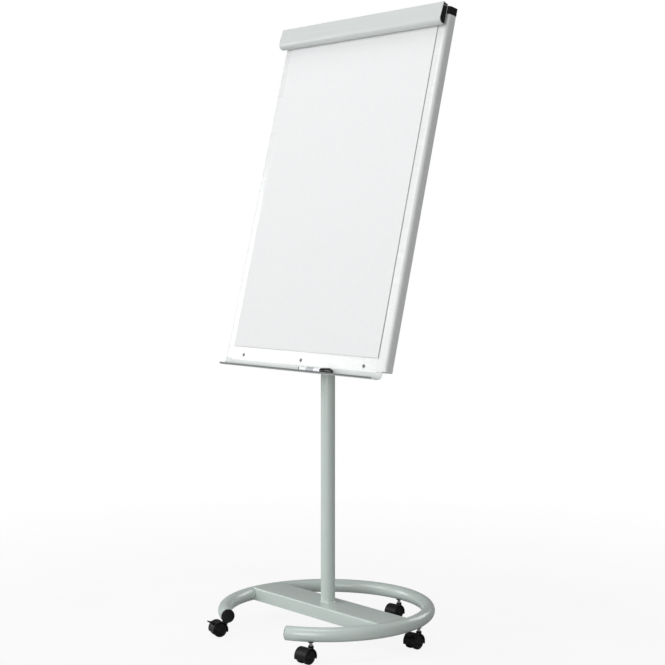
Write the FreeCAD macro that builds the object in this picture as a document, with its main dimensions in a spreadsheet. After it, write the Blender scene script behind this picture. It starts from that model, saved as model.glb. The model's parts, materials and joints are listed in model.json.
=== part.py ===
import FreeCAD, Part
import math
import os
import re

import Sketcher
from FreeCAD import Placement, Rotation, Vector

# A mobile flipchart easel: a tilting board with a clamp bar and a pen tray, on a telescopic column
# that stands on an open ring with five castors. Millimetres, +Z up, the viewer stands at -Y.
# The origin is on the floor under the column. Board pieces are drawn on an upright board first, with
# X across the board, Y backwards from the writing face and Z up from the board's lower edge.

SIZES = {
    # base
    "ring_radius": 285, "tube_radius": 19, "tube_wall": 2, "ring_height": 72.5, "ring_sweep": 309,
    "ring_offset": -5, "ring_turn": 3.3, "plug_flange": 2.5, "plug_depth": 16, "plug_slack": 0.6,
    "plate_front": -57, "plate_back": 47, "plate_sheet": 2.5, "plate_fold": 36, "plate_half": 276,
    "fold_round": 4,
    # column
    "column_radius": 20, "column_wall": 2, "column_top": 764, "weld_leg": 4, "foot_plug": 26,
    "foot_bolt": 6, "foot_head": 10.8, "foot_head_high": 8, "foot_bolt_reach": 36,
    "inner_radius": 17.5, "inner_bottom": 372, "inner_top": 917, "glide_length": 15, "glide_wall": 3,
    "run_gap": 0.05, "collar_radius": 26, "collar_bottom": 739, "collar_top": 789,
    "collar_chamfer": 4, "clamp_height": 777, "clamp_screw": 4, "clamp_boss": 10, "boss_reach": 34,
    "clamp_gap": 0.1, "clamp_inset": 2,
    # knobs
    "knob_radius": 20, "knob_depth": 18, "knob_edge": 3, "knob_lobe": 6, "lobe_inset": 2,
    "lobe_edge": 2, "knob_gap": 2,
    # tilting head and bracket
    "pivot_height": 957, "pivot_up": 211, "pivot_back": 52, "tilt": 13.7, "head_plug": 45,
    "head_rim": 6, "neck_inset": 4, "lug_radius": 18, "lug_half": 16, "bolt_radius": 4,
    "bolt_head": 8, "bolt_head_high": 4, "bolt_inset": 3, "washer": 2, "ear_sheet": 3,
    "ear_radius": 16, "ear_root": 45, "bracket_half": 50, "bracket_reach": 85, "bolt_across": 38,
    "bolt_up": 70, "small_bolt": 3, "small_head": 5.4, "small_head_high": 4, "small_bolt_end": 6,
    # board
    "board_width": 700, "board_height": 1000, "board_depth": 28, "rail_width": 32,
    "rail_wall": 1.2, "rail_round": 11, "rail_length": 981, "cap_top": 1003, "cap_proud": 1,
    "cap_stub": 12, "cap_slack": 0.3, "face_sheet": 0.6, "face_drop": 4, "core_sheet": 8,
    "core_bottom": 18, "stiff_height": 40, "stiff_back": 22, "stiff_sheet": 1.5, "lap": 1,
    # clamp bar
    "bar_top": 1007, "bar_bottom": 946, "bar_back": 8, "bar_front_top": 25, "bar_front_low": 31,
    "bar_wall": 2, "bar_nose": 15, "bar_web": 998, "hinge_up": 998, "hinge_out": 4.5,
    "bead_radius": 4, "bead_half": 314, "pin_radius": 2, "pin_inset": 1, "knuckle_half": 10,
    "knuckle_pitch": 250, "knuckle_gap": 0.5, "strap_depth": 20, "strap_sheet": 2,
    "plug_length": 14, "plug_proud": 0.6, "grip_height": 7.5, "grip_up": 2, "grip_slope": 1,
    "grip_gap": 0.1, "grip_half": 340,
    # pad and pegs
    "pad_half": 317.9, "pad_bottom": 34.5, "pad_top": 992, "pad_thick": 3, "peg_radius": 3,
    "peg_reach": 6.5, "peg_across": 237.5, "peg_up": 970, "punch_slack": 1,
    # tray
    "tray_left": 349, "tray_right": 340, "tray_reach": 19, "tray_drop": 22, "tray_sheet": 1.5,
    "tray_round": 14, "tray_flange": 16, "lip_rise": 3, "lip_edge": 1, "screw_up": 11,
    "screw_across": 265, "screw_shank": 1.5, "screw_head": 4.5, "screw_head_high": 2.5,
    "screw_reach": 6,
    # marker
    "marker_radius": 7.5, "marker_left": 15, "marker_length": 139, "marker_cap": 44,
    "marker_neck": 6, "marker_tail": 6, "marker_edge": 1, "neck_length": 22, "nib_radius": 2.5,
    "nib_taper": 8, "nib_length": 6, "nib_tip": 2, "marker_gap": 0.1, "cap_gap": 0.2,
    "cap_crown": 3, "cap_edge": 2,
    # castors
    "castor_step": 70, "castor_turn": 2, "heading_front_right": 277, "heading_right": 277,
    "heading_back": 277, "heading_left": 80, "heading_front_left": 255, "trail": 20,
    "wheel_radius": 20, "wheel_inner": 4.9, "wheel_outer": 19, "tread_round": 2, "rim_round": 3,
    "rim_face": 2, "dish_slope": 1.5, "dish_deep": 2, "hub_radius": 8, "wheel_cap": 3,
    "axle_radius": 2.5, "hood_radius": 22.5, "hood_side": 1, "hood_gap": 1.2, "hood_low": 13,
    "web_half": 4.3, "hood_boss": 7.5, "hood_top": 43, "stem_radius": 4.5, "stem_bottom": 30,
    "stem_top": 80, "socket_radius": 6.5, "socket_top": 86, "socket_floor": 82,
    "socket_flange": 8, "flange_low": 52, "lever_rise": 45, "lever_hub": 2.8, "lever_pin": 1.2,
    "lever_half": 7, "lever_long": 14, "lever_ear": 2.5, "lever_gap": 0.1, "lever_slope": 18,
}

# Each castor's place round the ring, in steps from the back one.
CASTORS = {"front_right": -2, "right": -1, "back": 0, "left": 1, "front_left": 2}
BRAKED = ("front_left", "right")
KNOB_LOBES = 5
SIDES = (-1, 1)

doc = FreeCAD.newDocument("FlipchartEasel")
kept = {}


# ---------------------------------------------------------------- the sheet and its expressions

def fill_sheet():
    sheet = doc.addObject("Spreadsheet::Sheet", "Sizes")
    for row, (alias, number) in enumerate(SIZES.items(), start=1):
        sheet.set(f"A{row}", alias)
        sheet.set(f"B{row}", str(number))
        sheet.setAlias(f"B{row}", alias)
    doc.recompute()
    return sheet


def bound(text):
    """The expression with each size's name turned into its cell in the sheet."""
    return re.sub(r"[a-z]\w+", lambda word: prefixed(word.group()), str(text))


def prefixed(word):
    return f"Sizes.{word}" if word in SIZES else word


def value(text):
    return float(sizes_sheet.evalExpression(bound(text)))


def spot(across, back, up):
    return Vector(value(across), value(back), value(up))


def keep(node, shape_object):
    shape_object.Label = node
    kept[node] = shape_object
    return shape_object


# ---------------------------------------------------------------- sketches and features

def new_body(name):
    return doc.addObject("PartDesign::Body", name)


def sketch_on(body, role, offset="0"):
    sketch = body.newObject("Sketcher::SketchObject", f"{body.Name}_sketch")
    plane = next(item for item in body.Origin.OriginFeatures if item.Role == role)
    sketch.AttachmentSupport = [(plane, "")]
    sketch.MapMode = "FlatFace"
    sketch.setExpression("AttachmentOffset.Base.z", bound(offset))
    return sketch


def hold(sketch, kind, geometry, point, text):
    """Hold one coordinate of a point at a distance from the sketch's origin."""
    rule = Sketcher.Constraint(kind, -1, 1, geometry, point, value(text))
    sketch.setExpression(f"Constraints[{sketch.addConstraint(rule)}]", bound(text))


def polygon(sketch, corners):
    """Draw a closed outline; each corner is a pair of expressions."""
    points = [Vector(value(across), value(up), 0) for across, up in corners]
    first = sketch.GeometryCount
    following = [first + (index + 1) % len(points) for index in range(len(points))]
    for index, point in enumerate(points):
        sketch.addGeometry(Part.LineSegment(point, points[(index + 1) % len(points)]), False)
    for index, (across, up) in enumerate(corners):
        sketch.addConstraint(Sketcher.Constraint("Coincident", first + index, 2, following[index], 1))
        hold(sketch, "DistanceX", first + index, 1, across)
        hold(sketch, "DistanceY", first + index, 1, up)
    return sketch


def circle(sketch, across, up, radius):
    centre = Vector(value(across), value(up), 0)
    index = sketch.addGeometry(Part.Circle(centre, Vector(0, 0, 1), value(radius)), False)
    hold(sketch, "DistanceX", index, 3, across)
    hold(sketch, "DistanceY", index, 3, up)
    rule = Sketcher.Constraint("Radius", index, value(radius))
    sketch.setExpression(f"Constraints[{sketch.addConstraint(rule)}]", bound(radius))
    return sketch


def extrude(sketch, length, kind="Pad", symmetric=True, reverse=False):
    """Pad or pocket a sketch, by default equally to both sides of its plane."""
    body = sketch.getParentGeoFeatureGroup()
    feature = body.newObject(f"PartDesign::{kind}", f"{body.Name}_{kind.lower()}")
    feature.Profile = sketch
    feature.SideType = "Symmetric" if symmetric else "One side"
    feature.setExpression("Length", bound(length))
    feature.Reversed = reverse
    return feature


def turned(name, profile):
    """A body of revolution about Z; each corner of its profile is (radius, height)."""
    body = new_body(name)
    sketch = polygon(sketch_on(body, "XZ_Plane"), profile)
    turn = body.newObject("PartDesign::Revolution", f"{body.Name}_turn")
    turn.Profile = sketch
    turn.ReferenceAxis = (sketch, ["V_Axis"])
    turn.Angle = 360
    return body


def across_board(name, outline, length):
    """A body with one (Y, Z) outline all along X, centred on the board."""
    body = new_body(name)
    extrude(polygon(sketch_on(body, "YZ_Plane"), outline), length)
    return body


def drill_back(body, places, radius):
    """Drill holes along Y through the body at (X, Z) places."""
    sketch = sketch_on(body, "XZ_Plane")
    for across, up in places:
        circle(sketch, across, up, radius)
    return extrude(sketch, "4 * board_depth", kind="Pocket")


def round_edges(body, axis, radius, *spots):
    """Round the straight edges that run along an axis through the given spots."""
    doc.recompute()
    wanted = [Vector(*(value(text) for text in place)) for place in spots]
    names = []
    for index, edge in enumerate(body.Tip.Shape.Edges, start=1):
        middle = edge.valueAt((edge.FirstParameter + edge.LastParameter) / 2)
        straight = edge.Curve.TypeId == "Part::GeomLine" and abs(edge.Curve.Direction.dot(axis)) > 0.999
        near = any((middle - place).cross(axis).Length < 0.01 for place in wanted)
        if straight and near:
            names.append(f"Edge{index}")
    fillet = body.newObject("PartDesign::Fillet", f"{body.Name}_round")
    fillet.Base = (body.Tip if body.Tip is not fillet else body.Group[-2], names)
    fillet.setExpression("Radius", bound(radius))
    return fillet


# ---------------------------------------------------------------- primitives and booleans

def bind_place(solid, across, back, up):
    for letter, text in zip("xyz", (across, back, up)):
        solid.setExpression(f"Placement.Base.{letter}", bound(text))


def block(name, left, right, front, back, low, high):
    box = doc.addObject("Part::Box", name)
    box.setExpression("Length", bound(f"({right}) - ({left})"))
    box.setExpression("Width", bound(f"({back}) - ({front})"))
    box.setExpression("Height", bound(f"({high}) - ({low})"))
    bind_place(box, left, front, low)
    return box


def rod(name, radius, length, start, axis="Z"):
    """A cylinder from a start point along X, Y or Z."""
    aim = {"X": Vector(1, 0, 0), "Y": Vector(0, 1, 0), "Z": Vector(0, 0, 1)}[axis]
    solid = doc.addObject("Part::Cylinder", name)
    solid.setExpression("Radius", bound(radius))
    solid.setExpression("Height", bound(length))
    solid.Placement = Placement(Vector(), Rotation(Vector(0, 0, 1), aim))
    bind_place(solid, *start)
    return solid


def fuse(name, *solids):
    joined = doc.addObject("Part::MultiFuse", name)
    joined.Shapes = list(solids)
    joined.Refine = True
    return joined


def cut(name, base, *tools):
    result = doc.addObject("Part::Cut", name)
    result.Base = base
    result.Tool = tools[0] if len(tools) == 1 else fuse(f"{name}_tools", *tools)
    return result


def group(name, solids):
    """One node of several separate solids."""
    together = doc.addObject("Part::Compound", name)
    together.Links = list(solids)
    return together


def turned_to(aim):
    return Rotation(Vector(0, 0, 1), aim)


# ---------------------------------------------------------------- base

def ring_place():
    """The ring's own frame: its centre lies a little in front of the column, turned a little."""
    return Placement(spot("0", "ring_offset", "0"), Rotation(Vector(0, 0, 1), value("ring_turn")))


def on_ring(node, piece):
    piece.Placement = ring_place().multiply(piece.Placement)
    return keep(node, piece)


def base_ring():
    body = new_body("BaseRing")
    sketch = circle(sketch_on(body, "YZ_Plane"), "ring_radius", "ring_height", "tube_radius")
    circle(sketch, "ring_radius", "ring_height", "tube_radius - tube_wall")
    sweep = body.newObject("PartDesign::Revolution", "BaseRing_sweep")
    sweep.Profile = sketch
    sweep.ReferenceAxis = (sketch, ["V_Axis"])
    sweep.setExpression("Angle", bound("ring_sweep"))
    sweep.Midplane = True
    seats = sketch_on(body, "XY_Plane")
    for step in CASTORS.values():
        turn = f"({step} * castor_step + castor_turn - ring_turn)"
        circle(seats, f"-ring_radius * sin({turn})", f"ring_radius * cos({turn})", "socket_radius")
    extrude(seats, "ring_height", kind="Pocket", symmetric=False, reverse=True)
    on_ring("base_ring", body)


def ring_end_plugs():
    """Two domed plugs; each closes one open end of the ring's tube."""
    plugs = []
    for side in SIDES:
        plug = turned("RingPlug", [
            ("0", "-plug_depth"), ("tube_radius - tube_wall - plug_slack", "-plug_depth"),
            ("tube_radius - tube_wall - plug_slack", "0"), ("tube_radius", "0"),
            ("tube_radius", "plug_flange / 2"), ("tube_radius - plug_flange", "plug_flange"),
            ("0", "plug_flange")])
        angle = math.radians(90 + side * value("ring_sweep") / 2)
        radial = Vector(math.cos(angle), math.sin(angle), 0)
        outward = Vector(0, 0, side).cross(radial)
        centre = radial * value("ring_radius") + Vector(0, 0, value("ring_height"))
        plug.Placement = Placement(centre, turned_to(outward))
        plugs.append(plug)
    on_ring("ring_end_plugs", group("RingEndPlugs", plugs))


def base_plate():
    """A folded channel along X, coped to the ring's tube, with its top level with the tube's crown."""
    top = "ring_height + tube_radius"
    low = f"{top} - plate_fold"
    body = new_body("PlateChannel")
    outline = [
        ("plate_front", low), ("plate_front", top), ("plate_back", top), ("plate_back", low),
        ("plate_back - plate_sheet", low), ("plate_back - plate_sheet", f"{top} - plate_sheet"),
        ("plate_front + plate_sheet", f"{top} - plate_sheet"), ("plate_front + plate_sheet", low)]
    extrude(polygon(sketch_on(body, "YZ_Plane"), outline), "2 * plate_half")
    round_edges(body, Vector(1, 0, 0), "fold_round", ("0", "plate_front", top), ("0", "plate_back", top))
    tube = doc.addObject("Part::Torus", "CopeTube")
    tube.setExpression("Radius1", bound("ring_radius"))
    tube.setExpression("Radius2", bound("tube_radius"))
    bind_place(tube, "0", "ring_offset", "ring_height")
    hole = rod("PlateHole", "foot_bolt", "plate_fold", ("0", "0", low))
    keep("base_plate", cut("BasePlate", body, tube, hole))


def outer_column():
    foot = "ring_height + tube_radius"
    inner = "column_radius - column_wall"
    keep("outer_column", turned("OuterColumn", [
        (inner, foot), ("column_radius + weld_leg", foot), ("column_radius", f"{foot} + weld_leg"),
        ("column_radius", "column_top"), (inner, "column_top")]))


def column_foot():
    """A threaded plug welded into the column's foot, and the bolt that pulls it down on the plate."""
    foot = "ring_height + tube_radius"
    under = f"{foot} - plate_sheet"
    keep("column_foot_plug", turned("FootPlug", [
        ("foot_bolt", foot), ("column_radius - column_wall", foot),
        ("column_radius - column_wall", f"{foot} + foot_plug"), ("foot_bolt", f"{foot} + foot_plug")]))
    head = doc.addObject("Part::Prism", "FootBoltHead")
    head.Polygon = 6
    head.setExpression("Circumradius", bound("foot_head"))
    head.setExpression("Height", bound("foot_head_high"))
    bind_place(head, "0", "0", f"{under} - foot_head_high")
    shank = rod("FootBoltShank", "foot_bolt", "foot_bolt_reach", ("0", "0", under))
    keep("column_bolt", fuse("ColumnBolt", head, shank))


def column_collar():
    """The clamp collar: it grips the outer column, guides the inner one and carries the clamp screw."""
    sleeve = turned("CollarSleeve", [
        ("column_radius", "collar_bottom"), ("collar_radius", "collar_bottom"),
        ("collar_radius", "collar_top - collar_chamfer"),
        ("collar_radius - collar_chamfer", "collar_top"),
        ("inner_radius + run_gap", "collar_top"), ("inner_radius + run_gap", "column_top"),
        ("column_radius", "column_top")])
    boss = rod("CollarBoss", "clamp_boss", "boss_reach - column_radius",
               ("0", "column_radius", "clamp_height"), "Y")
    thread = rod("CollarThread", "clamp_screw + run_gap", "boss_reach", ("0", "0", "clamp_height"), "Y")
    keep("column_collar", cut("ColumnCollar", fuse("CollarBlank", sleeve, boss), thread))


def lobed_knob(name, bore):
    """A knob on the Z axis: a round hub with lobes round it."""
    core = "knob_radius - knob_lobe"
    hub = turned(f"{name}_hub", [
        (bore, "0"), (f"{core} - knob_edge", "0"), (core, "knob_edge"),
        (core, "knob_depth - knob_edge"), (f"{core} - knob_edge", "knob_depth"),
        (bore, "knob_depth")])
    lobes = []
    for index in range(KNOB_LOBES):
        top = "knob_depth - lobe_inset"
        lobe = turned(f"{name}_lobe", [
            ("0", "lobe_inset"), ("knob_lobe - lobe_edge", "lobe_inset"),
            ("knob_lobe", "lobe_inset + lobe_edge"), ("knob_lobe", f"{top} - lobe_edge"),
            ("knob_lobe - lobe_edge", top), ("0", top)])
        angle = 2 * math.pi * index / KNOB_LOBES
        lobe.Placement.Base = Vector(math.cos(angle), math.sin(angle), 0) * value(core)
        lobes.append(lobe)
    blank = fuse(f"{name}_blank", hub, *lobes)
    return cut(name, blank, rod(f"{name}_bore", bore, "knob_depth", ("0", "0", "0")))


def height_knob():
    start = "boss_reach + knob_gap"
    knob = lobed_knob("HeightKnob", "clamp_screw")
    knob.Placement = Placement(spot("0", start, "clamp_height"), turned_to(Vector(0, 1, 0)))
    keep("height_knob", knob)
    tip = "inner_radius + clamp_gap"
    screw = rod("HeightScrew", "clamp_screw", f"{start} + knob_depth - clamp_inset - ({tip})",
                ("0", tip, "clamp_height"), "Y")
    keep("height_screw", screw)


# ---------------------------------------------------------------- sliding column

def inner_column():
    bore = "inner_radius - column_wall"
    keep("inner_column", turned("InnerColumn", [
        (bore, "inner_bottom"), ("inner_radius", "inner_bottom"),
        ("inner_radius", "inner_top"), (bore, "inner_top")]))
    glide = "column_radius - column_wall - run_gap"
    keep("column_glide", turned("ColumnGlide", [
        (f"{bore} - glide_wall", "inner_bottom - glide_length"),
        (glide, "inner_bottom - glide_length"),
        (glide, "inner_bottom"), (f"{bore} - run_gap", "inner_bottom"),
        (f"{bore} - run_gap", "inner_bottom + 2 * glide_length"),
        (f"{bore} - glide_wall", "inner_bottom + 2 * glide_length")]))


def tilt_head():
    """The head plugs into the inner column; its lug carries the tilt bolt."""
    bore = "inner_radius - column_wall"
    stub = turned("HeadStub", [
        ("0", "inner_top - head_plug"), (bore, "inner_top - head_plug"), (bore, "inner_top"),
        ("inner_radius", "inner_top"), ("inner_radius", "inner_top + head_rim"),
        ("0", "inner_top + head_rim")])
    neck = block("HeadNeck", "-lug_half", "lug_half", "neck_inset - lug_radius",
                 "lug_radius - neck_inset", "inner_top + head_rim - lap", "pivot_height")
    lug = rod("HeadLug", "lug_radius", "2 * lug_half", ("-lug_half", "0", "pivot_height"), "X")
    eye = rod("HeadEye", "bolt_radius + run_gap", "4 * lug_half",
              ("-2 * lug_half", "0", "pivot_height"), "X")
    keep("tilt_head", cut("TiltHead", fuse("HeadBlank", stub, neck, lug), eye))


# ---------------------------------------------------------------- board

def board_place():
    """Where the upright board's frame goes: its tilt pivot on the head, leaning back by the tilt."""
    lean = Rotation(Vector(1, 0, 0), -value("tilt"))
    pivot = spot("0", "pivot_back", "pivot_up")
    return Placement(spot("0", "0", "pivot_height") - lean.multVec(pivot), lean)


def on_board(node, piece):
    clear_expressions(piece)
    piece.Placement = board_place().multiply(piece.Placement)
    return keep(node, piece)


def writing_face():
    face = new_body("WritingFace")
    half = "board_width / 2 - rail_width"
    extrude(polygon(sketch_on(face, "YZ_Plane"), [
        ("0", "-face_drop"), ("face_sheet", "-face_drop"), ("face_sheet", "board_height"),
        ("0", "board_height")]),
        f"2 * ({half})")
    drill_back(face, [(f"{side} * screw_across", "screw_up") for side in (-1, 0, 1)], "screw_shank")
    drill_back(face, [(f"{side} * peg_across", "peg_up") for side in SIDES], "peg_radius")
    on_board("writing_face", face)
    back = "face_sheet + core_sheet"
    on_board("board_core", across_board("BoardCore", [
        ("face_sheet", "core_bottom"), (back, "core_bottom"), (back, "rail_length"),
        ("face_sheet", "rail_length")], f"2 * ({half})"))


def channel(name, low, high, front):
    """A folded stiffener across the board, open towards the writing face."""
    half = "board_width / 2 - rail_width"
    return across_board(name, [
        (front, low), (front, f"{low} + stiff_sheet"),
        ("stiff_back - stiff_sheet", f"{low} + stiff_sheet"),
        ("stiff_back - stiff_sheet", f"{high} - stiff_sheet"), (front, f"{high} - stiff_sheet"),
        (front, high), ("stiff_back", high), ("stiff_back", low)], f"2 * ({half})")


def stiffeners():
    behind_core = "face_sheet + core_sheet"
    levels = {"lower_cross_rail": "pivot_up - bolt_up", "upper_cross_rail": "pivot_up + bolt_up"}
    for node, centre in levels.items():
        low = f"{centre} - stiff_height / 2"
        high = f"{centre} + stiff_height / 2"
        rail = channel(node.title().replace("_", ""), low, high, behind_core)
        drill_back(rail, [(f"{side} * bolt_across", centre) for side in (-1, 1)], "small_bolt")
        on_board(node, rail)
    on_board("top_rail", channel("TopRail", "rail_length", "board_height", "face_sheet"))


def rail_outline(side, inset):
    """The side rail's section from above; inset 0 is its outside, a wall's thickness its bore."""
    outer = f"{side} * (board_width / 2 - ({inset}))"
    inner = f"{side} * (board_width / 2 - rail_width + {inset})"
    back = f"board_depth - ({inset})"
    return [(inner, inset), (outer, inset), (outer, back), (inner, back)]


def rail_solid(name, side, inset, length="rail_length", start="0"):
    """A length of the rail's rounded section, drawn smaller by an inset."""
    body = new_body(name)
    sketch = polygon(sketch_on(body, "XY_Plane", start), rail_outline(side, inset))
    extrude(sketch, length, symmetric=False)
    round_edges(body, Vector(0, 0, 1), f"rail_round - ({inset})",
                (f"{side} * (board_width / 2 - ({inset}))", inset, "0"))
    return body


def side_rail(node, side):
    name = node.title().replace("_", "")
    outside = rail_solid(f"{name}Outside", side, "0")
    bore = rail_solid(f"{name}Bore", side, "rail_wall")
    on_board(node, cut(name, outside, bore))


def rail_caps():
    """Black end blocks on the side rails, up to the board's top corners."""
    caps = []
    for side in SIDES:
        body = new_body("RailCapBlock")
        outer = f"{side} * board_width / 2"
        inner = f"{side} * (board_width / 2 - rail_width)"
        back = "board_depth + cap_proud"
        outline = [(inner, "-cap_proud"), (outer, "-cap_proud"), (outer, back), (inner, back)]
        extrude(polygon(sketch_on(body, "XY_Plane", "rail_length"), outline),
                "cap_top - rail_length", symmetric=False)
        round_edges(body, Vector(0, 0, 1), "rail_round", (outer, "-cap_proud", "0"))
        stub = rail_solid("RailCapStub", side, "rail_wall + cap_slack", "cap_stub + lap",
                          "rail_length - cap_stub")
        caps.append(fuse("RailCapWhole", body, stub))
    on_board("rail_caps", group("RailCaps", caps))


def tilt_bracket():
    """A back plate bolted to both cross rails, with two ears round the tilt bolt."""
    body = new_body("TiltBracket")
    face = "stiff_back"
    rear = f"{face} + ear_sheet"
    low = "pivot_up - bracket_reach"
    high = "pivot_up + bracket_reach"
    plate = polygon(sketch_on(body, "YZ_Plane"), [(face, low), (rear, low), (rear, high), (face, high)])
    extrude(plate, "2 * bracket_half")
    inside = "lug_half + washer"
    for side in SIDES:
        offset = inside if side > 0 else f"-({inside}) - ear_sheet"
        web = polygon(sketch_on(body, "YZ_Plane", offset), [
            (face, "pivot_up - ear_root"), ("pivot_back", "pivot_up - ear_radius"),
            ("pivot_back", "pivot_up + ear_radius"), (face, "pivot_up + ear_root")])
        extrude(web, "ear_sheet", symmetric=False)
        nose = circle(sketch_on(body, "YZ_Plane", offset), "pivot_back", "pivot_up", "ear_radius")
        extrude(nose, "ear_sheet", symmetric=False)
    eye = circle(sketch_on(body, "YZ_Plane"), "pivot_back", "pivot_up", "bolt_radius")
    extrude(eye, "4 * lug_half", kind="Pocket")
    drill_back(body, bracket_bolt_places(), "small_bolt")
    on_board("tilt_bracket", body)


def bracket_bolt_places():
    return [(f"{side} * bolt_across", f"pivot_up + {level} * bolt_up")
            for side in SIDES for level in SIDES]


def headed_pin(name, place, shank, head, high, reach, out):
    """A pin along Y through a sheet's face: a domed head outside the face and a shank inside it."""
    pin = turned(name, [
        ("0", f"-({reach})"), (shank, f"-({reach})"), (shank, "0"), (head, "0"),
        (head, f"{high} / 2"), (f"{head} / 2", high), ("0", high)])
    pin.Placement = Placement(spot(*place), turned_to(Vector(0, out, 0)))
    return pin


def tilt_bolts():
    rear = "stiff_back + ear_sheet"
    bolts = [headed_pin("BracketBolt", (across, rear, up), "small_bolt", "small_head",
                        "small_head_high", "ear_sheet + stiff_sheet + small_bolt_end", 1)
             for across, up in bracket_bolt_places()]
    on_board("bracket_bolts", group("BracketBolts", bolts))
    outside = "lug_half + washer + ear_sheet"
    start = (f"-({outside})", "pivot_back", "pivot_up")
    shank = rod("TiltBoltShank", "bolt_radius",
                f"2 * ({outside}) + knob_gap + knob_depth - bolt_inset", start, "X")
    head = rod("TiltBoltHead", "bolt_head", "bolt_head_high",
               (f"-({outside}) - bolt_head_high", "pivot_back", "pivot_up"), "X")
    on_board("tilt_bolt", fuse("TiltBolt", head, shank))
    washers = []
    for side in SIDES:
        washer = turned("FrictionWasher", [
            ("bolt_radius", "run_gap"), ("ear_radius", "run_gap"), ("ear_radius", "washer"),
            ("bolt_radius", "washer")])
        washer.Placement = Placement(spot(f"{side} * lug_half", "pivot_back", "pivot_up"),
                                     turned_to(Vector(side, 0, 0)))
        washers.append(washer)
    on_board("friction_washers", group("FrictionWashers", washers))
    knob = lobed_knob("TiltKnob", "bolt_radius + run_gap")
    knob.Placement = Placement(spot(f"{outside} + knob_gap / 2", "pivot_back", "pivot_up"),
                               turned_to(Vector(1, 0, 0)))
    on_board("tilt_knob", knob)


def pen_tray():
    """A folded sheet: a flange behind the writing face, a curved trough and a lip leaning forward."""
    inside, outside = "face_sheet", "face_sheet + tray_sheet"
    floor, under = "-tray_drop", "-tray_drop - tray_sheet"
    bend = "lip_rise - tray_reach"
    tray = new_body("PenTray")
    profile = polygon(sketch_on(tray, "YZ_Plane", "-tray_left"), [
        (inside, "tray_flange"), (outside, "tray_flange"), (outside, under), (bend, under),
        ("-tray_reach - lip_edge", f"{floor} + lip_rise - lip_edge"),
        ("-tray_reach", f"{floor} + lip_rise"), (f"{bend} + lip_edge", floor), (inside, floor)])
    extrude(profile, "tray_left + tray_right", symmetric=False)
    along = Vector(1, 0, 0)
    round_edges(tray, along, "tray_round + tray_sheet", ("0", outside, under))
    round_edges(tray, along, "tray_round", ("0", inside, floor))
    clear_of_rails(tray)
    places = [(f"{step} * screw_across", "screw_up") for step in (-1, 0, 1)]
    drill_back(tray, places, "screw_shank")
    on_board("pen_tray", tray)
    screws = [headed_pin("TrayScrew", (across, "0", up), "screw_shank", "screw_head",
                         "screw_head_high", "screw_reach", -1) for across, up in places]
    on_board("tray_screws", group("TrayScrews", screws))


def clear_of_rails(tray):
    """Cut the tray's flange away above the board's lower edge where the side rails run."""
    inner = "board_width / 2 - rail_width"
    for side in SIDES:
        near = f"{side} * ({inner})"
        far = f"{side} * (tray_left + lap)"
        high = "tray_flange + lap"
        corner = [(near, "0"), (far, "0"), (far, high), (near, high)]
        extrude(polygon(sketch_on(tray, "XZ_Plane"), corner), "board_depth", kind="Pocket")


def pad_and_pegs():
    pad = across_board("PaperPad", [
        ("-pad_thick", "pad_bottom"), ("0", "pad_bottom"), ("0", "pad_top"), ("-pad_thick", "pad_top")],
        "2 * pad_half")
    drill_back(pad, [(f"{side} * peg_across", "peg_up") for side in SIDES], "peg_radius + punch_slack")
    on_board("paper_pad", pad)
    pegs = [rod("PadPeg", "peg_radius", "peg_reach + face_sheet",
                (f"{side} * peg_across", "-peg_reach", "peg_up"), "Y") for side in SIDES]
    on_board("pad_pegs", group("PadPegs", pegs))


# ---------------------------------------------------------------- clamp bar

def bar_front(height, inset="0"):
    """How far the bar's leaning front wall stands from the board at a height, less an inset."""
    slope = "(bar_front_low - bar_front_top) / (bar_top - bar_bottom)"
    return f"-(bar_front_top + (bar_top - ({height})) * {slope} - {inset})"


def bar_crown(out):
    """The height of the bar's sloping top wall at a distance from the board."""
    slope = "(bar_top - hinge_up - bead_radius) / (bar_front_top - hinge_out)"
    return f"bar_top - (bar_front_top - ({out})) * {slope}"


def chambers(name, length):
    """The bar's two hollows, as solids: the tall one below the web and the wedge above it."""
    back = "-(bar_back + bar_wall)"
    low = "bar_bottom + bar_wall"
    under = "bar_web - bar_wall / 2"
    over = "bar_web + bar_wall / 2"
    high_back = f"{bar_crown('bar_back + bar_wall')} - bar_wall"
    high_front = f"{bar_crown('bar_front_top - bar_wall')} - bar_wall"
    nose = (bar_front(low, "bar_wall"), low)
    tall = across_board(f"{name}Tall", [
        (back, low), (back, under), (bar_front(under, "bar_wall"), under), nose], length)
    round_edges(tall, Vector(1, 0, 0), "bar_nose - bar_wall", ("0",) + nose)
    wedge = across_board(f"{name}Wedge", [
        (back, over), (back, high_back), (bar_front(high_front, "bar_wall"), high_front),
        (bar_front(over, "bar_wall"), over)], length)
    return [tall, wedge]


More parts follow.
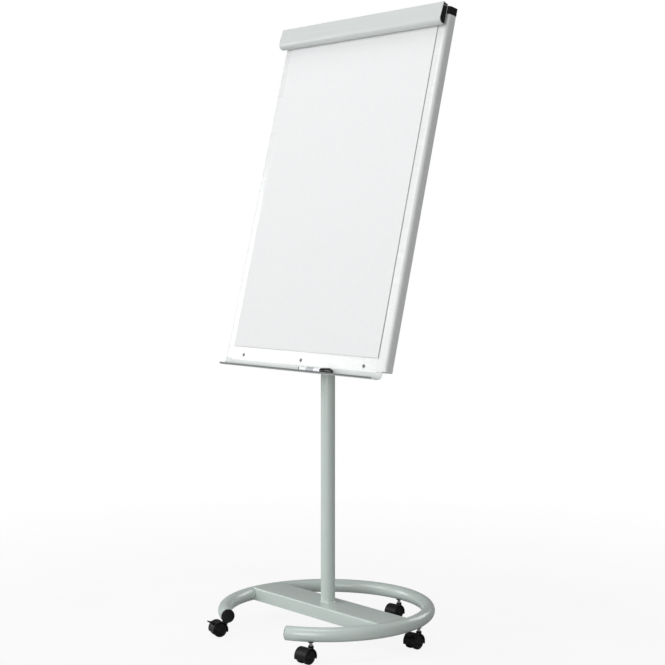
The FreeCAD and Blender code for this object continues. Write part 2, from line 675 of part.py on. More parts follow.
def clamp_bar():
    """A hollow bar hinged along its upper rear edge, with a round nose at its lower front."""
    along = Vector(1, 0, 0)
    bar = across_board("ClampBarOutside", [
        ("-bar_back", "bar_bottom"), ("-bar_back", bar_crown("bar_back")),
        ("-bar_front_top", "bar_top"), ("-bar_front_low", "bar_bottom")], "board_width")
    round_edges(bar, along, "bar_nose", ("0", "-bar_front_low", "bar_bottom"))
    round_edges(bar, along, "bar_wall", ("0", "-bar_front_top", "bar_top"),
                ("0", "-bar_back", "bar_bottom"))
    neck = polygon(sketch_on(bar, "YZ_Plane"), [
        ("-bar_back", "hinge_up - 2 * bead_radius"), ("-hinge_out", "hinge_up - bead_radius"),
        ("-hinge_out", "hinge_up + bead_radius"), ("-bar_back", bar_crown("bar_back"))])
    extrude(neck, "2 * bead_half")
    extrude(circle(sketch_on(bar, "YZ_Plane"), "-hinge_out", "hinge_up", "bead_radius"), "2 * bead_half")
    bore = circle(sketch_on(bar, "YZ_Plane"), "-hinge_out", "hinge_up", "pin_radius + run_gap")
    extrude(bore, "2 * board_width", kind="Pocket")
    notches = sketch_on(bar, "XZ_Plane")
    for step in (-1, 0, 1):
        left = f"{step} * knuckle_pitch - knuckle_half - knuckle_gap"
        right = f"{step} * knuckle_pitch + knuckle_half + knuckle_gap"
        floor = "hinge_up - 3 * bead_radius"
        polygon(notches, [(left, floor), (right, floor), (right, "bar_top"), (left, "bar_top")])
    extrude(notches, "hinge_out + bead_radius + knuckle_gap", kind="Pocket", symmetric=False,
            reverse=True)
    on_board("clamp_bar", cut("ClampBar", bar, *chambers("BarHollow", "2 * board_width")))


def clamp_details():
    plugs = []
    for side in SIDES:
        for piece in chambers("BarPlug", "plug_length"):
            piece.Placement.Base.x = side * value("(board_width - plug_length) / 2 + plug_proud")
            plugs.append(piece)
    on_board("clamp_end_plugs", group("ClampEndPlugs", plugs))
    low = "bar_bottom + grip_up"
    high = f"{low} + grip_height"
    lips = "-pad_thick - grip_gap"
    on_board("clamp_grip", across_board("ClampGrip", [
        ("-bar_back", low), (lips, f"{low} + grip_slope"), (lips, f"{high} - grip_slope"),
        ("-bar_back", high)], "2 * grip_half"))
    on_board("hinge_rod", rod("HingeRod", "pin_radius", "2 * (bead_half - pin_inset)",
                              ("pin_inset - bead_half", "-hinge_out", "hinge_up"), "X"))
    brackets = []
    for step in (-1, 0, 1):
        left = f"{step} * knuckle_pitch - knuckle_half"
        start = (left, "-hinge_out", "hinge_up")
        knuckle = rod("Knuckle", "bead_radius", "2 * knuckle_half", start, "X")
        strap = block("Strap", left, f"{left} + 2 * knuckle_half", "-hinge_out", "strap_depth",
                      "board_height", "board_height + strap_sheet")
        eye = rod("KnuckleEye", "pin_radius", "2 * knuckle_half", start, "X")
        brackets.append(cut("HingeBracket", fuse("HingeBlank", knuckle, strap), eye))
    on_board("hinge_brackets", group("HingeBrackets", brackets))


# ---------------------------------------------------------------- marker

def marker():
    """A marker pen lying in the trough, its axis along X and its cap to the right."""
    down = math.radians(value("tilt"))
    play = value("tray_round - marker_radius - marker_gap")
    axis_back = value("face_sheet - tray_round") + play * math.sin(down)
    axis_up = value("tray_round - tray_drop") - play * math.cos(down)
    shoulder = "marker_length - marker_cap"
    neck_end = f"{shoulder} + neck_length"
    nib = f"{neck_end} + nib_taper"
    barrel = turned("MarkerBarrel", [
        ("0", "0"), ("marker_neck - marker_edge", "0"), ("marker_neck", "marker_edge"),
        ("marker_neck", "marker_tail"), ("marker_radius", "marker_tail + marker_edge"),
        ("marker_radius", shoulder), ("marker_neck", shoulder), ("marker_neck", neck_end),
        ("nib_radius", nib), ("nib_radius", f"{nib} + nib_length"),
        ("0", f"{nib} + nib_length + nib_tip")])
    bore = "marker_neck + run_gap"
    crown = "marker_length - cap_crown"
    cap = turned("MarkerCap", [
        (bore, f"{shoulder} + cap_gap"), ("marker_radius", f"{shoulder} + cap_gap"),
        ("marker_radius", crown), ("marker_radius - cap_edge", "marker_length"),
        ("0", "marker_length"), ("0", crown), (bore, crown)])
    start = Vector(value("marker_left"), axis_back, axis_up)
    for node, piece in (("marker_barrel", barrel), ("marker_cap", cap)):
        piece.Placement = Placement(start, turned_to(Vector(1, 0, 0)))
        on_board(node, piece)


# ---------------------------------------------------------------- castors

def castor_pose(place):
    """Where a castor stands: under the ring's tube, turned to the heading that it trails along."""
    angle = math.radians(90 + CASTORS[place] * value("castor_step") + value("castor_turn"))
    reach = value("ring_radius")
    stand = Vector(reach * math.cos(angle), reach * math.sin(angle) + value("ring_offset"), 0)
    return Placement(stand, Rotation(Vector(0, 0, 1), value(f"heading_{place}")))


def castor_sockets():
    sockets = []
    for place in CASTORS:
        socket = turned("CastorSocket", [
            ("stem_radius + run_gap", "flange_low"), ("socket_flange", "flange_low"),
            ("socket_flange", "ring_height - tube_radius"),
            ("socket_radius", "ring_height - tube_radius"),
            ("socket_radius", "socket_top"), ("0", "socket_top"), ("0", "socket_floor"),
            ("stem_radius + run_gap", "socket_floor")])
        socket.Placement = castor_pose(place)
        sockets.append(socket)
    keep("castor_sockets", group("CastorSockets", sockets))


def lever_spot():
    """The brake lever's hinge line, just outside the hood's rear upper edge."""
    reach = "(hood_radius + lever_hub)"
    return f"trail + {reach} * cos(lever_rise)", f"wheel_radius + {reach} * sin(lever_rise)"


def castor_hood(name, braked):
    """A round hood over both wheels, a web between them and a boss for the stem."""
    half = "(wheel_outer + hood_side)"
    centre = ("trail", "wheel_radius")
    over = rod(f"{name}_disc", "hood_radius", f"2 * {half}", ("trail", f"-{half}", "wheel_radius"), "Y")
    boss = rod(f"{name}_boss", "hood_boss", "hood_top - stem_bottom", ("0", "0", "stem_bottom"))
    parts = [over, boss]
    tools = [rod(f"{name}_space", "wheel_radius + hood_gap", "wheel_outer",
                 (centre[0], start, centre[1]), "Y")
             for start in ("web_half", "-web_half - wheel_outer")]
    tools.append(block(f"{name}_below", "-hood_radius", "trail + 2 * hood_radius", "-2 * wheel_outer",
                       "2 * wheel_outer", "-hood_radius", "hood_low"))
    tools.append(rod(f"{name}_stem_hole", "stem_radius", "stem_top", ("0", "0", "stem_bottom")))
    tools.append(rod(f"{name}_axle_hole", "axle_radius", "4 * wheel_outer",
                     (centre[0], "-2 * wheel_outer", centre[1]), "Y"))
    if braked:
        back, up = lever_spot()
        for start in ("lever_half + lever_gap", "-lever_half - lever_gap - lever_ear"):
            parts.append(rod(f"{name}_ear", "lever_hub + lap", "lever_ear", (back, start, up), "Y"))
        tools.append(rod(f"{name}_pin_hole", "lever_pin + run_gap", "2 * wheel_outer",
                         (back, "-wheel_outer", up), "Y"))
    return cut(name, fuse(f"{name}_blank", *parts), *tools)


def castor_wheel(name, side):
    """A wheel with a rounded tread, a raised rim, a dished face and a closed hub."""
    rim = "wheel_radius - rim_round"
    dish = "wheel_outer - dish_deep"
    wheel = turned(name, [
        ("axle_radius + run_gap", "wheel_inner"), ("wheel_radius - tread_round", "wheel_inner"),
        ("wheel_radius", "wheel_inner + tread_round"), ("wheel_radius", "wheel_outer - rim_round"),
        (rim, "wheel_outer"), (f"{rim} - rim_face", "wheel_outer"),
        (f"{rim} - rim_face - dish_slope", dish), ("hub_radius", dish),
        ("hub_radius - dish_slope", "wheel_outer"), ("0", "wheel_outer"),
        ("0", "wheel_outer - wheel_cap"), ("axle_radius + run_gap", "wheel_outer - wheel_cap")])
    wheel.Placement = Placement(spot("trail", "0", "wheel_radius"), turned_to(Vector(0, side, 0)))
    return wheel


def brake_lever(name):
    back, up = lever_spot()
    hub = rod(f"{name}_hub", "lever_hub", "2 * lever_half", (back, "-lever_half", up), "Y")
    pin = rod(f"{name}_pin", "lever_pin", "2 * (lever_half + lever_ear)",
              (back, "-lever_half - lever_ear", up), "Y")
    pedal = doc.addObject("Part::Box", f"{name}_pedal")
    pedal.setExpression("Length", bound("lever_long"))
    pedal.setExpression("Width", bound("2 * lever_half"))
    pedal.setExpression("Height", bound("lever_hub"))
    slope = Rotation(Vector(0, 1, 0), -value("lever_slope"))
    pedal.Placement = Placement(spot(back, "-lever_half", up), slope)
    return fuse(name, hub, pin, pedal)


def castors():
    for place in CASTORS:
        title = "Castor" + place.title().replace("_", "")
        braked = place in BRAKED
        pieces = {
            "stem": rod(f"{title}Stem", "stem_radius", "stem_top - stem_bottom",
                        ("0", "0", "stem_bottom")),
            "hood": castor_hood(f"{title}Hood", braked),
            "axle": rod(f"{title}Axle", "axle_radius", "2 * (wheel_outer - wheel_cap - run_gap)",
                        ("trail", "wheel_cap + run_gap - wheel_outer", "wheel_radius"), "Y"),
            "wheels": group(f"{title}Wheels", [castor_wheel(f"{title}Wheel", side) for side in SIDES]),
        }
        if braked:
            pieces["brake"] = brake_lever(f"{title}Brake")
        for piece_name, piece in pieces.items():
            clear_expressions(piece)
            piece.Placement = castor_pose(place).multiply(piece.Placement)
            keep(f"castor_{place}_{piece_name}", piece)


def clear_expressions(piece):
    """Let a bound piece's own place be moved as a whole; its sizes stay bound."""
    doc.recompute()
    for path, _ in piece.ExpressionEngine:
        if "Placement" in path:
            piece.setExpression(path.lstrip("."), None)


# ---------------------------------------------------------------- build, check, write

def build_all():
    base_ring()
    ring_end_plugs()
    base_plate()
    outer_column()
    column_foot()
    column_collar()
    castor_sockets()
    height_knob()
    inner_column()
    tilt_head()
    writing_face()
    stiffeners()
    side_rail("left_side_rail", -1)
    side_rail("right_side_rail", 1)
    rail_caps()
    tilt_bracket()
    tilt_bolts()
    pen_tray()
    pad_and_pegs()
    clamp_bar()
    clamp_details()
    marker()
    castors()


def check_all():
    doc.recompute()
    failed = [item.Name for item in doc.Objects if {"Invalid", "Error"} & set(item.State)]
    for node, piece in kept.items():
        if piece.Shape.isNull() or not piece.Shape.isValid():
            failed.append(node)
    if failed:
        raise RuntimeError(f"these did not build: {failed}")


def write_all():
    os.makedirs("parts", exist_ok=True)
    for node, piece in kept.items():
        piece.Shape.exportStep(os.path.join("parts", f"{node}.step"))


sizes_sheet = fill_sheet()
build_all()
check_all()
write_all()
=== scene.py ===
import json
import math
import random
from itertools import product

import bmesh
import bpy
from mathutils import Matrix, Vector


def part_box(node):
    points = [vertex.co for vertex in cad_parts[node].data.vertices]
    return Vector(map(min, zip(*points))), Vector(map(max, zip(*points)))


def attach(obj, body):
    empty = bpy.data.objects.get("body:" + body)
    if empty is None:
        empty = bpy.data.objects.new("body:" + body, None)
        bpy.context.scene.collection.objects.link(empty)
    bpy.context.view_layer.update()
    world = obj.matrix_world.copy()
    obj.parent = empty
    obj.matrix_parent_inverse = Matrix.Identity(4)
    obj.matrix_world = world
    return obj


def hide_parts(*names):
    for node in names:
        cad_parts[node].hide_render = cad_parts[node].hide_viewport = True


# Looks of a mobile flipchart easel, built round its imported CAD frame. Metres, +Z up, and the
# viewer at -Y.
# "Upright" coordinates have the board turned upright about its tilt pivot: X across, Y back, Z up.

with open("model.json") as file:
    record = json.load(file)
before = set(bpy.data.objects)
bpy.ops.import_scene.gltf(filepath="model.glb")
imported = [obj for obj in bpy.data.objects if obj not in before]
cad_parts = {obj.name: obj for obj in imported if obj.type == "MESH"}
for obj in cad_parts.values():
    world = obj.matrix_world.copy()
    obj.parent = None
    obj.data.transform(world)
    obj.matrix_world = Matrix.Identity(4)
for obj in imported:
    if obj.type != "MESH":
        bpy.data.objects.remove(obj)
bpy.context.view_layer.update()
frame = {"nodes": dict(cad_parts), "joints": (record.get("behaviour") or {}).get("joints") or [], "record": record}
scene = bpy.context.scene

MM = 0.001
SMOOTH_BELOW = math.radians(35)
WELD_GAP = 0.002 * MM
# Scale at which one rib of the wave texture fills one cell of a grid.
WAVE_PER_CELL = 0.314
SLOT_OF = {row["node"]: row["material_slot"] for row in frame["record"]["subparts"]}
JOINTS = {joint["name"]: joint for joint in frame["joints"]}

PIVOT = Vector(JOINTS["board_tilt"]["pos_m"])
LEAN = math.radians(max(JOINTS["board_tilt"]["range_deg"]))
UPRIGHT = Matrix.Translation(PIVOT) @ Matrix.Rotation(-LEAN, 4, "X") @ Matrix.Translation(-PIVOT)


def corners_of(points):
    """The lowest and highest corner of the box round some points."""
    return [Vector(pick(point[axis] for point in points) for axis in range(3)) for pick in (min, max)]


def upright_points(node):
    """A CAD node's vertices in upright coordinates."""
    back = UPRIGHT.inverted()
    return [back @ vertex.co for vertex in frame["nodes"][node].data.vertices]


def upright_box(node):
    """A CAD node's lowest and highest corner in upright coordinates."""
    return corners_of(upright_points(node))


# ---------------------------------------------------------------- materials

def paint(red, green, blue):
    """A colour as a screen shows it, 0 to 255, as linear light."""
    linear = [((channel / 255 + 0.055) / 1.055) ** 2.4 for channel in (red, green, blue)]
    return (*linear, 1.0)


class Recipe:
    """One material; its patterns read the object's own coordinates, so they move with it."""

    def __init__(self, name, upright=False):
        self.material = bpy.data.materials.new(name)
        self.material.use_nodes = True
        self.tree = self.material.node_tree
        self.shader = self.tree.nodes["Principled BSDF"]
        self.normal = None
        self.place = self.node("TexCoord", "Object")
        if upright:
            self.place = self.node("VectorRotate", settings={"rotation_type": "X_AXIS"},
                                   Vector=self.place, Center=PIVOT, Angle=LEAN)

    def node(self, kind, output=0, settings=None, **inputs):
        made = self.tree.nodes.new("ShaderNode" + kind)
        for key, setting in (settings or {}).items():
            setattr(made, key, setting)
        for key, source in inputs.items():
            self.feed(made.inputs[key.replace("_", " ")], source)
        return made.outputs[output]

    def feed(self, socket, source):
        if isinstance(source, bpy.types.NodeSocket):
            self.tree.links.new(source, socket)
        else:
            socket.default_value = source

    def sum(self, operation, *terms, clamp=False):
        made = self.tree.nodes.new("ShaderNodeMath")
        made.operation = operation
        made.use_clamp = clamp
        for socket, term in zip(made.inputs, terms):
            self.feed(socket, term)
        return made.outputs[0]

    def mixed(self, share, first, second):
        made = self.tree.nodes.new("ShaderNodeMix")
        made.data_type = "RGBA"
        for index, source in ((0, share), (6, first), (7, second)):
            self.feed(made.inputs[index], source)
        return made.outputs[2]

    def span(self, source, low, high, start=0.0, end=1.0):
        """The source stretched from low..high to start..end, and held there."""
        return self.node("MapRange", Value=source, From_Min=low, From_Max=high,
                         To_Min=start, To_Max=end)

    def grid(self, size, stretch=(1, 1, 1)):
        """Coordinates counted in features of a size; stretch makes them longer along an axis."""
        scale = [1 / (size * factor) for factor in stretch]
        return self.node("Mapping", Vector=self.place, Scale=scale)

    def noise(self, size, stretch=(1, 1, 1), detail=3.0, rough=0.5):
        return self.node("TexNoise", "Fac", Vector=self.grid(size, stretch), Scale=1.0,
                         Detail=detail, Roughness=rough)

    def cells(self, size, stretch=(1, 1, 1)):
        return self.node("TexVoronoi", "Distance", Vector=self.grid(size, stretch), Scale=1.0)

    def edges(self, width, noise_size):
        """1 along sharp edges and 0 elsewhere, broken up by noise: the mask for edge wear, and for the black
        plastic's painted sheen.
        """
        rounded = self.node("Bevel", settings={"samples": 4}, Radius=width)
        facing = self.node("NewGeometry", "Normal")
        along = self.tree.nodes.new("ShaderNodeVectorMath")
        along.operation = "DOT_PRODUCT"
        self.feed(along.inputs[0], rounded)
        self.feed(along.inputs[1], facing)
        sharp = self.span(along.outputs["Value"], 0.995, 0.86)
        return self.sum("MULTIPLY", sharp, self.span(self.noise(noise_size), 0.35, 0.65))

    def rubbed(self, tone, width, noise_size, share, colour):
        """The tone with its worn edges shifted by a share towards another colour."""
        edge_wear_and_sheen = self.sum("MULTIPLY", self.edges(width, noise_size), share)
        return self.mixed(edge_wear_and_sheen, tone, colour)

    def ribs(self, direction, pitch, **inputs):
        """Even ribs at a pitch along X or Z."""
        return self.node("TexWave", "Fac", settings={"bands_direction": direction},
                         Vector=self.grid(pitch), Scale=WAVE_PER_CELL, **inputs)

    def bump(self, height, depth):
        """Raise the surface where the height is above its middle, by a depth in metres."""
        inputs = {"Height": height, "Distance": depth, "Strength": 1.0}
        if self.normal:
            inputs["Normal"] = self.normal
        self.normal = self.node("Bump", **inputs)

    def finish(self, colour, rough, **inputs):
        inputs.update({"Base_Color": colour, "Roughness": rough})
        if self.normal:
            inputs["Normal"] = self.normal
        for key, source in inputs.items():
            self.feed(self.shader.inputs[key.replace("_", " ")], source)
        return self.material


def powder_coat():
    """Grey-green powder coat: orange peel, a slow drift of tone, thin edges and a few scuffs."""
    coat = Recipe("powder_coat")
    peel = coat.noise(2.2 * MM, detail=2)
    grain = coat.noise(0.5 * MM, detail=2)
    tone = coat.mixed(coat.noise(90 * MM), paint(198, 210, 205), paint(206, 217, 212))
    tone = coat.mixed(coat.span(grain, 0.3, 0.7, 0, 0.25), tone, paint(216, 224, 220))
    tone = coat.rubbed(tone, 1.2 * MM, 5 * MM, 0.45, paint(228, 233, 230))
    scuffs = coat.span(coat.noise(7 * MM, (6, 6, 1), detail=5), 0.66, 0.74, 0, 0.18)
    tone = coat.mixed(scuffs, tone, paint(172, 181, 177))
    coat.bump(peel, 0.05 * MM)
    coat.bump(grain, 0.012 * MM)
    return coat.finish(tone, coat.span(peel, 0.3, 0.7, 0.30, 0.40), Coat_Weight=0.5,
                       Coat_Roughness=0.14)


def white_lacquer():
    """Gloss white enamel: a slight wave in the sheet and the haze that wiping leaves."""
    enamel = Recipe("white_lacquer", upright=True)
    wiped = enamel.noise(60 * MM, (4, 1, 1), detail=6, rough=0.6)
    haze = enamel.span(wiped, 0.45, 0.75)
    tone = enamel.mixed(enamel.noise(150 * MM), paint(233, 234, 234), paint(230, 232, 232))
    tone = enamel.mixed(enamel.sum("MULTIPLY", haze, 0.35), tone, paint(224, 226, 227))
    tone = enamel.rubbed(tone, 0.8 * MM, 4 * MM, 0.3, paint(222, 224, 224))
    enamel.bump(enamel.noise(35 * MM, detail=1), 0.06 * MM)
    enamel.bump(enamel.noise(1.1 * MM, detail=2), 0.004 * MM)
    return enamel.finish(tone, enamel.span(wiped, 0.35, 0.75, 0.20, 0.36), Coat_Weight=0.25,
                         Coat_Roughness=0.12)


def back_paint():
    """Thin light-grey paint on rolled sheet: faint streaks across the board and small pits."""
    sheet = Recipe("back_paint", upright=True)
    streak = sheet.noise(1.2 * MM, (120, 1, 1), detail=4)
    tone = sheet.mixed(streak, paint(196, 200, 200), paint(212, 215, 215))
    tone = sheet.mixed(sheet.edges(0.8 * MM, 4 * MM), tone, paint(172, 176, 178))
    sheet.bump(streak, 0.015 * MM)
    sheet.bump(sheet.noise(1.4 * MM, detail=2), 0.02 * MM)
    return sheet.finish(tone, sheet.span(streak, 0.3, 0.7, 0.38, 0.5))


def grey_profile():
    """Satin light-grey extrusion: fine die lines across the board and softly worn edges."""
    bar = Recipe("grey_profile", upright=True)
    lines = bar.noise(0.7 * MM, (900, 1, 1), detail=3)
    broad = bar.noise(6 * MM, (60, 1, 1), detail=2)
    tone = bar.mixed(broad, paint(199, 204, 202), paint(209, 213, 211))
    tone = bar.mixed(bar.span(lines, 0.35, 0.65, 0, 0.35), tone, paint(198, 204, 201))
    tone = bar.rubbed(tone, 0.9 * MM, 5 * MM, 0.6, paint(232, 234, 233))
    bar.bump(lines, 0.02 * MM)
    bar.bump(bar.noise(0.6 * MM, detail=2), 0.006 * MM)
    return bar.finish(tone, bar.span(lines, 0.3, 0.7, 0.30, 0.44), Coat_Weight=0.2,
                      Coat_Roughness=0.3)


def moulded_black():
    """Black moulded plastic: spark-eroded grain, a painted sheen that lightens its sharp edges, and less rough
    where hands and edges rub.
    """
    plastic = Recipe("moulded_black")
    grain = plastic.cells(0.55 * MM)
    edge_wear_and_sheen = plastic.edges(0.9 * MM, 3 * MM)
    tone = plastic.mixed(plastic.noise(14 * MM), paint(15, 16, 17), paint(21, 22, 23))
    # Painted sheen: the sharp edges are lightened towards grey (58, 59, 61); the same mask lowers their roughness.
    tone = plastic.mixed(plastic.sum("MULTIPLY", edge_wear_and_sheen, 0.5), tone, paint(58, 59, 61))
    plastic.bump(grain, 0.03 * MM)
    grained = plastic.span(grain, 0, 0.8, 0.52, 0.42)
    rough = plastic.sum("SUBTRACT", grained, plastic.sum("MULTIPLY", edge_wear_and_sheen, 0.15))
    return plastic.finish(tone, rough, Specular_IOR_Level=0.3)


def castor_nylon():
    """Black nylon: faint flow lines, patches of grey dust and scuffed rims."""
    nylon = Recipe("castor_nylon")
    flow = nylon.noise(9 * MM, (1, 1, 3), detail=4)
    edge_wear_and_sheen = nylon.edges(1.0 * MM, 2.5 * MM)
    dust = nylon.span(nylon.noise(3 * MM, detail=6, rough=0.65), 0.5, 0.72, 0, 0.22)
    tone = nylon.mixed(flow, paint(8, 8, 9), paint(13, 13, 14))
    tone = nylon.mixed(dust, tone, paint(62, 61, 58))
    tone = nylon.mixed(nylon.sum("MULTIPLY", edge_wear_and_sheen, 0.4), tone, paint(60, 60, 60))
    nylon.bump(nylon.noise(0.7 * MM, detail=2), 0.02 * MM)
    return nylon.finish(tone, nylon.sum("ADD", nylon.span(flow, 0.3, 0.7, 0.38, 0.5), dust),
                        Specular_IOR_Level=0.3)


def zinc_plate(name="zinc_plate", cool=(178, 181, 186), warm=(196, 193, 184)):
    """Zinc-plated steel: drawn lines, a faint warm and cool tarnish, brighter rubbed edges."""
    zinc = Recipe(name)
    drawn = zinc.noise(0.5 * MM, (1, 1, 30), detail=3)
    tone = zinc.mixed(zinc.noise(6 * MM), paint(*cool), paint(*warm))
    tone = zinc.rubbed(tone, 0.5 * MM, 2 * MM, 0.5, paint(224, 224, 224))
    zinc.bump(drawn, 0.01 * MM)
    return zinc.finish(tone, zinc.span(drawn, 0.3, 0.7, 0.26, 0.42), Metallic=1.0)


def dark_casting():
    """Painted die casting: a sandy cast skin under dark grey paint, paler at its corners."""
    cast = Recipe("dark_casting")
    skin = cast.noise(1.6 * MM, detail=4)
    tone = cast.mixed(skin, paint(56, 58, 60), paint(72, 74, 76))
    tone = cast.rubbed(tone, 0.8 * MM, 2.5 * MM, 0.7, paint(138, 139, 140))
    cast.bump(skin, 0.06 * MM)
    cast.bump(cast.cells(0.8 * MM), 0.02 * MM)
    return cast.finish(tone, cast.span(skin, 0.3, 0.7, 0.42, 0.58))


def friction_fibre():
    """Pressed grey fibre: flecks of short strands."""
    disc = Recipe("friction_fibre")
    fleck = disc.noise(0.6 * MM, (4, 1, 4), detail=4)
    tone = disc.mixed(disc.span(fleck, 0.35, 0.65), paint(118, 117, 112), paint(158, 156, 150))
    disc.bump(fleck, 0.03 * MM)
    return disc.finish(tone, 0.8)


def fibreboard():
    """Hard brown fibreboard: a woven screen pattern on its back, loose dark fibres through it."""
    board = Recipe("fibreboard", upright=True)
    across = board.ribs("X", 2 * MM, Distortion=0.4)
    upward = board.ribs("Z", 2 * MM, Distortion=0.4)
    screen = board.sum("MAXIMUM", across, upward)
    fibre = board.noise(1.0 * MM, (7, 1, 1), detail=6, rough=0.7)
    tone = board.mixed(board.noise(120 * MM, detail=4), paint(148, 122, 92), paint(164, 138, 106))
    tone = board.mixed(board.span(fibre, 0.55, 0.72, 0, 0.6), tone, paint(104, 82, 58))
    tone = board.mixed(board.span(screen, 0.6, 1.0, 0, 0.25), tone, paint(128, 104, 78))
    board.bump(screen, -0.12 * MM)
    board.bump(fibre, 0.05 * MM)
    return board.finish(tone, 0.72)


def soft_grip():
    """Soft black strip: fine ribs along it and a dry bloom."""
    strip = Recipe("soft_grip", upright=True)
    bloom = strip.noise(5 * MM, (6, 1, 1), detail=5)
    ribs = strip.ribs("Z", 1.5 * MM)
    tone = strip.mixed(strip.span(bloom, 0.4, 0.7), paint(34, 34, 35), paint(58, 58, 58))
    strip.bump(ribs, 0.15 * MM)
    return strip.finish(tone, 0.78)


def lip_shade_tone():
    """Mid-grey colour for the tray's lip bead, painted shade standing in for the shadow under the front lip: a
    fine matt grain, paler where hands rub it.
    """
    strip = Recipe("lip_shade_grey", upright=True)
    grain = strip.noise(0.6 * MM, (3, 1, 1), detail=4)
    tone = strip.mixed(strip.noise(40 * MM, (4, 1, 1)), paint(112, 114, 117), paint(124, 126, 128))
    tone = strip.mixed(strip.span(grain, 0.6, 0.75, 0, 0.4), tone, paint(150, 152, 153))
    strip.bump(grain, 0.03 * MM)
    return strip.finish(tone, 0.66)


def drawing_paper():
    """Uncoated pad paper: a fine tooth, cloudy formation and a few fibres."""
    sheet = Recipe("drawing_paper", upright=True)
    cloud = sheet.noise(14 * MM, detail=4)
    tooth = sheet.noise(0.35 * MM, detail=3, rough=0.65)
    fibre = sheet.noise(0.5 * MM, (5, 1, 2), detail=4)
    tone = sheet.mixed(cloud, paint(226, 227, 228), paint(231, 232, 232))
    tone = sheet.mixed(sheet.span(fibre, 0.62, 0.75, 0, 0.35), tone, paint(214, 215, 214))
    sheet.bump(tooth, 0.02 * MM)
    sheet.bump(sheet.noise(80 * MM, detail=1), 0.25 * MM)
    return sheet.finish(tone, sheet.span(tooth, 0.3, 0.7, 0.78, 0.92), Specular_IOR_Level=0.25)


def marker_shell():
    """The marker's barrel: white plastic with one plain grey printed band between bare ends."""
    shell = Recipe("marker_shell", upright=True)
    low, high = upright_box("marker_barrel")
    along = shell.node("SeparateXYZ", "X", Vector=shell.place)
    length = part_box("marker_cap")[0].x - low.x
    share = shell.span(along, low.x, low.x + length)
    after = shell.sum("GREATER_THAN", share, 0.38)
    before = shell.sum("LESS_THAN", share, 0.72)
    band = shell.sum("MULTIPLY", after, before)
    tone = shell.mixed(shell.noise(8 * MM), paint(238, 239, 240), paint(230, 231, 233))
    tone = shell.mixed(band, tone, paint(176, 179, 182))
    tone = shell.mixed(shell.sum("LESS_THAN", share, 0.07), tone, paint(96, 98, 100))
    shell.bump(shell.noise(0.5 * MM, detail=2), 0.006 * MM)
    rough = shell.sum("SUBTRACT", 0.36, shell.sum("MULTIPLY", band, 0.12))
    return shell.finish(tone, rough, Coat_Weight=0.2)


def marker_black():
    """Glossy black cap plastic with hairline scratches."""
    cap = Recipe("marker_black", upright=True)
    scratch = cap.span(cap.noise(0.3 * MM, (30, 1, 1), detail=2), 0.6, 0.75)
    tone = cap.mixed(scratch, paint(21, 21, 22), paint(60, 60, 62))
    cap.bump(cap.noise(0.8 * MM, detail=2), 0.006 * MM)
    return cap.finish(tone, cap.span(scratch, 0, 1, 0.2, 0.36), Coat_Weight=0.4, Coat_Roughness=0.1)


def grey_card_rim_shade():
    """The pad's grey backing card, whose rim round the sheets also serves as painted shade along the pad's edge:
    pulp flecks of every tone and a soft, fuzzy tooth.
    """
    card = Recipe("grey_card_rim_shade", upright=True)
    fleck = card.noise(0.8 * MM, (3, 1, 1), detail=5, rough=0.7)
    tone = card.mixed(card.noise(30 * MM), paint(168, 165, 158), paint(180, 177, 170))
    tone = card.mixed(card.span(fleck, 0.58, 0.72, 0, 0.6), tone, paint(112, 108, 102))
    tone = card.mixed(card.span(fleck, 0.42, 0.3, 0, 0.5), tone, paint(206, 204, 199))
    card.bump(fleck, 0.03 * MM)
    return card.finish(tone, 0.88, Specular_IOR_Level=0.2)


MATERIALS = {
    "frame_paint": powder_coat(), "white_lacquer": white_lacquer(), "back_steel": back_paint(),
    "grey_profile": grey_profile(), "black_plastic": moulded_black(), "castor_plastic": castor_nylon(),
    "steel": zinc_plate(), "head_casting": dark_casting(), "friction_disc": friction_fibre(),
    "core": fibreboard(), "grip": soft_grip(), "paper": drawing_paper(), "marker_body": marker_shell(),
    "marker_top": marker_black(),
}


# ---------------------------------------------------------------- CAD nodes

def soften(thing, bevel):
    """Small rounded edges from modifiers; the mesh itself is left alone."""
    weld = thing.modifiers.new("weld", "WELD")
    weld.merge_threshold = WELD_GAP
    flat = thing.modifiers.new("flat", "DECIMATE")
    flat.decimate_type = "DISSOLVE"
    flat.angle_limit = math.radians(0.4)
    rounding = thing.modifiers.new("rounding", "BEVEL")
    rounding.width = bevel
    rounding.segments = 2
    rounding.limit_method = "ANGLE"
    rounding.angle_limit = math.radians(40)
    rounding.harden_normals = True


def dress(node, bevel=0.4 * MM):
    """Give a CAD node its material and soft edges."""
    thing = frame["nodes"][node]
    thing.data.materials.clear()
    thing.data.materials.append(MATERIALS[SLOT_OF[node]])
    if "custom_normal" in thing.data.attributes:
        thing.data.attributes.remove(thing.data.attributes["custom_normal"])
    for polygon in thing.data.polygons:
        polygon.use_smooth = True
    soften(thing, bevel)


for node in frame["nodes"]:
    dress(node)


# ---------------------------------------------------------------- modelled pieces

def solid(name, shape, place=UPRIGHT):
    """An object from a bmesh drawn in upright coordinates."""
    bmesh.ops.recalc_face_normals(shape, faces=shape.faces)
    shape.transform(place)
    mesh = bpy.data.meshes.new(name)
    shape.to_mesh(mesh)
    shape.free()
    thing = bpy.data.objects.new(name, mesh)
    scene.collection.objects.link(thing)
    return thing


def carve(thing, cutters):
    """Cut the cutters out of an object for good, and throw them away."""
    for cutter in cutters:
        step = thing.modifiers.new("cut", "BOOLEAN")
        step.operation = "DIFFERENCE"
        step.solver = "EXACT"
        step.object = cutter
    graph = bpy.context.evaluated_depsgraph_get()
    thing.data = bpy.data.meshes.new_from_object(thing.evaluated_get(graph))
    thing.modifiers.clear()
    for cutter in cutters:
        bpy.data.objects.remove(cutter)
    return thing


